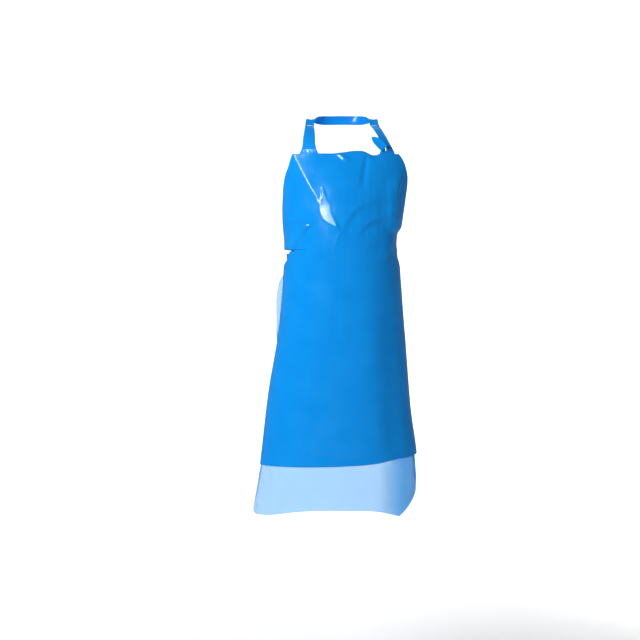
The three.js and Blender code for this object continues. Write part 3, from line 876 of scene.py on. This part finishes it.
def loop_piece(side, hand):
    """A loop of the bow, out from the knot and back."""
    low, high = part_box(f"bow_loop_{side}")
    share = np.linspace(0, 1, LOOP_POINTS)
    turn = share * 2 * math.pi
    out = (1 - np.cos(turn)) / 2
    near = abs(low.x if hand > 0 else high.x) - 4 * MM
    far = abs(high.x if hand > 0 else low.x)
    middle = (low.y + high.y) / 2
    opening = (high.y - low.y) / 2 - 1.5 * MM
    path = np.stack([
        hand * (near + out * (far - near)),
        middle + opening * np.sin(turn) * np.sqrt(out),
        waist_z - 38 * MM * out ** 2 + 2 * MM * np.sin(turn),
    ], axis=1)
    across = np.tile([hand * 0.35, 0, 1], (LOOP_POINTS, 1))
    width = LOOP_WIDTH * (0.5 + 0.5 * np.sin(math.pi * share) ** 0.7)
    depth = 1.5 * MM * np.abs(np.cos(math.pi * share)) ** 2 + 0.2 * MM
    rows = strip(path, across, width, 2.5, depth, BOW_COLUMNS)
    piece = grid_mesh(f"bow_loop_{side}_film", [rows], TIE)
    return finish_film(piece, TIE_FILM, 1)


def hanging_tail(side, hand):
    """A tie's end, which hangs from the knot and is cut at a slant."""
    low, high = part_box(f"tie_tail_{side}")
    share = np.linspace(0, 1, TIE_POINTS)
    middle = (low.y + high.y) / 2
    path = np.stack([
        hand * (7 * MM + 29 * MM * share ** 2),
        middle + 3 * MM * np.sin(3 * math.pi * share) * share,
        high.z - share * (high.z - low.z),
    ], axis=1)
    twist = 0.5 * np.sin(4 * share + hand)
    across = np.stack([np.cos(twist), 0.6 * np.sin(twist), 0 * share], axis=1)
    width = curve_through([(0, 10), (0.2, 17), (0.5, 19), (1, 20)], share) * MM
    depth = curve_through([(0, 1.5), (0.3, 0.8), (1, 0.25)], share) * MM
    rows = strip(path, across, width, 2, depth, BOW_COLUMNS)
    slant = np.linspace(-0.5, 0.5, BOW_COLUMNS)[None, :] * hand
    rows[..., 2] += slant * 12 * MM * step(0.9, 1, share)[:, None]
    piece = grid_mesh(f"tie_tail_{side}_film", [rows], TIE)
    return finish_film(piece, TIE_FILM, 1)


def knot_piece():
    """Gathered film wound once round the crossing of the ties."""
    centre = (np.array(knot_low) + np.array(knot_high)) / 2
    half = (np.array(knot_high) - np.array(knot_low)) / 2
    polar = np.linspace(KNOT_TIP, math.pi - KNOT_TIP, KNOT_RINGS)[:, None]
    round_it = np.linspace(0, 2 * math.pi, KNOT_SPOKES)[None]
    pleat = 1 + 0.09 * np.sin(KNOT_PLEATS * round_it + 3 * np.cos(polar)) * np.sin(polar)
    belt = 1 + 0.14 * bell(np.cos(polar) + 0.25 * np.sin(round_it), 0.34)
    radius = 0.9 * pleat * belt
    rows = np.stack([
        centre[0] - half[0] * radius * np.cos(polar) * np.ones_like(round_it),
        centre[1] + half[1] * radius * np.sin(polar) * np.cos(round_it),
        centre[2] + half[2] * radius * np.sin(polar) * np.sin(round_it),
    ], axis=2)
    rows = rows[:, :-1]
    points = rows.reshape(-1, 3)
    width = KNOT_SPOKES - 1
    quads = []
    for ring in range(0, (KNOT_RINGS - 1) * width, width):
        for c in range(width):
            after = (c + 1) % width
            quads.append((ring + c, ring + after, ring + width + after, ring + width + c))
    quads += [tuple(range(width))[::-1], tuple((KNOT_RINGS - 1) * width + c for c in range(width))]
    piece = make_mesh("bow_knot_film", points, quads, TIE)
    piece.data.polygons.foreach_set("use_smooth", [True] * len(piece.data.polygons))
    return piece


# ---- The pieces, their bodies and their slots ----

panel = panel_piece()
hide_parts("bib_panel", "skirt_panel")
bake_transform(panel)

liner = liner_piece()
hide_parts("bib_liner", "skirt_liner")
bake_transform(liner)

band = band_piece()
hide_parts("hem_band")
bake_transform(band)

strap = strap_piece(tab_lines(np.linspace(0, 1, 5)))
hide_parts("neck_strap")
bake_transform(strap)

tail = tail_piece()
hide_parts("strap_tail")
tuple(slit_middle())
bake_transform(tail)

knot = knot_piece()
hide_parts("bow_knot")
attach(knot, "bib")

for side, hand in (("left", -1), ("right", 1)):
    for piece, node, body in (
        (tie_piece(side, hand), f"waist_tie_{side}", "bib"),
        (hanging_tail(side, hand), f"tie_tail_{side}", f"{side}_tail"),
    ):
        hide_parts(node)
        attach(piece, body)
    loop = loop_piece(side, hand)
    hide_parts(f"bow_loop_{side}")
    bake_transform(loop)


# ---- Floor, light and camera ----

FLOOR_Z = -1.622
FLOOR_REACH = 7  # how far it goes to each side
FLOOR_PROFILE = [(-6, 0), (2.2, 0), (2.8, 0.12), (3.2, 0.5), (3.4, 1.2), (3.4, 5)]  # y, and height
FLOOR_POINTS = 60


def floor_piece():
    """A pale sweep of floor that curves up behind."""
    path = spline([(0, y, z) for y, z in FLOOR_PROFILE], FLOOR_POINTS)
    rows = np.stack([path + np.array([x, 0, FLOOR_Z]) for x in (-FLOOR_REACH, FLOOR_REACH)], axis=1)
    material, tree, shader = new_material("pale_floor")
    place = add_node(tree, "ShaderNodeTexCoord").outputs["Object"]
    cloud = add_node(tree, "ShaderNodeTexNoise", {"Vector": place, "Scale": 2, "Detail": 2})
    colour = ramp(tree, cloud.outputs["Fac"], [(0.3, (0.9, 0.9, 0.9)), (0.7, (0.93, 0.93, 0.93))])
    tree.links.new(colour, shader.inputs["Base Color"])
    shader.inputs["Roughness"].default_value = 0.8
    piece = grid_mesh("studio_floor", [rows[:, ::-1]], material)
    piece.data.polygons.foreach_set("use_smooth", [True] * len(piece.data.polygons))
    piece.visible_glossy = False  # the film would mirror the bright sweep along its edges
    return piece


floor_piece()


def soft_box(name, size, power):
    """A rectangular light, not placed yet."""
    light = bpy.data.lights.new(name, "AREA")
    light.shape = "RECTANGLE"
    light.size, light.size_y = size
    light.energy = power
    lamp = bpy.data.objects.new(name, light)
    bpy.context.scene.collection.objects.link(lamp)
    return lamp


def area_light(name, place, aim, size, power):
    """A soft box at a place, which faces the aim."""
    lamp = soft_box(name, size, power)
    lamp.location = place
    lamp.rotation_euler = (Vector(aim) - Vector(place)).to_track_quat("-Z", "Y").to_euler()


def strip_light(name, ends, width, aim, power):
    """A long soft box between two places, which faces the aim."""
    low, high = Vector(ends[0]), Vector(ends[1])
    long_way = high - low
    middle = (low + high) / 2
    up = long_way.normalized()
    back = (middle - Vector(aim)).normalized()
    back = (back - up * back.dot(up)).normalized()
    turned = Matrix((up.cross(back), up, back)).transposed().to_4x4()
    lamp = soft_box(name, (width, long_way.length), power)
    lamp.matrix_world = Matrix.Translation(middle) @ turned


CHEST = (-0.1, -0.2, -0.25)
KEY_ENDS = [(-1.07, -3.55, 0.1), (-2.54, -1.51, 1.9)]
KEY_WIDTH = 0.22
KEY_POWER = 107
BACKDROP_AIM = Vector((0, 1, 0))
WORLD_COLOUR = (1, 1, 1, 1)
WORLD_STRENGTH = 0.12

strip_light("key", KEY_ENDS, KEY_WIDTH, CHEST, KEY_POWER)
area_light("floor_light", place=(0, 1.9, 1.6), aim=(0, 0.2, FLOOR_Z), size=(4, 0.8), power=75)
for hand in (-1, 1):
    place = Vector((hand * 2.4, 0.4, -0.5))
    area_light(f"backdrop_light_{hand}", place, aim=place + BACKDROP_AIM, size=(0.7, 2.2), power=80)

world = bpy.data.worlds.new("studio")
bpy.context.scene.world = world
world.use_nodes = True
background = world.node_tree.nodes["Background"]
background.inputs["Color"].default_value = WORLD_COLOUR
background.inputs["Strength"].default_value = WORLD_STRENGTH

CAMERA_DISTANCE = 4.6
CAMERA_TILT = math.radians(2)
VIEW_SIZE = 2.035
VIEW_CENTRE = Vector((-0.073, -0.1, -0.642))
camera_data = bpy.data.cameras.new("camera")
camera_data.lens = camera_data.sensor_width * CAMERA_DISTANCE / VIEW_SIZE
camera = bpy.data.objects.new("camera", camera_data)
away = Vector((0, -math.cos(CAMERA_TILT), math.sin(CAMERA_TILT)))
camera.location = VIEW_CENTRE + away * CAMERA_DISTANCE
camera.rotation_euler = (math.pi / 2 - CAMERA_TILT, 0, 0)
bpy.context.scene.collection.objects.link(camera)
bpy.context.scene.camera = camera
bpy.context.scene.view_settings.view_transform = "Standard"
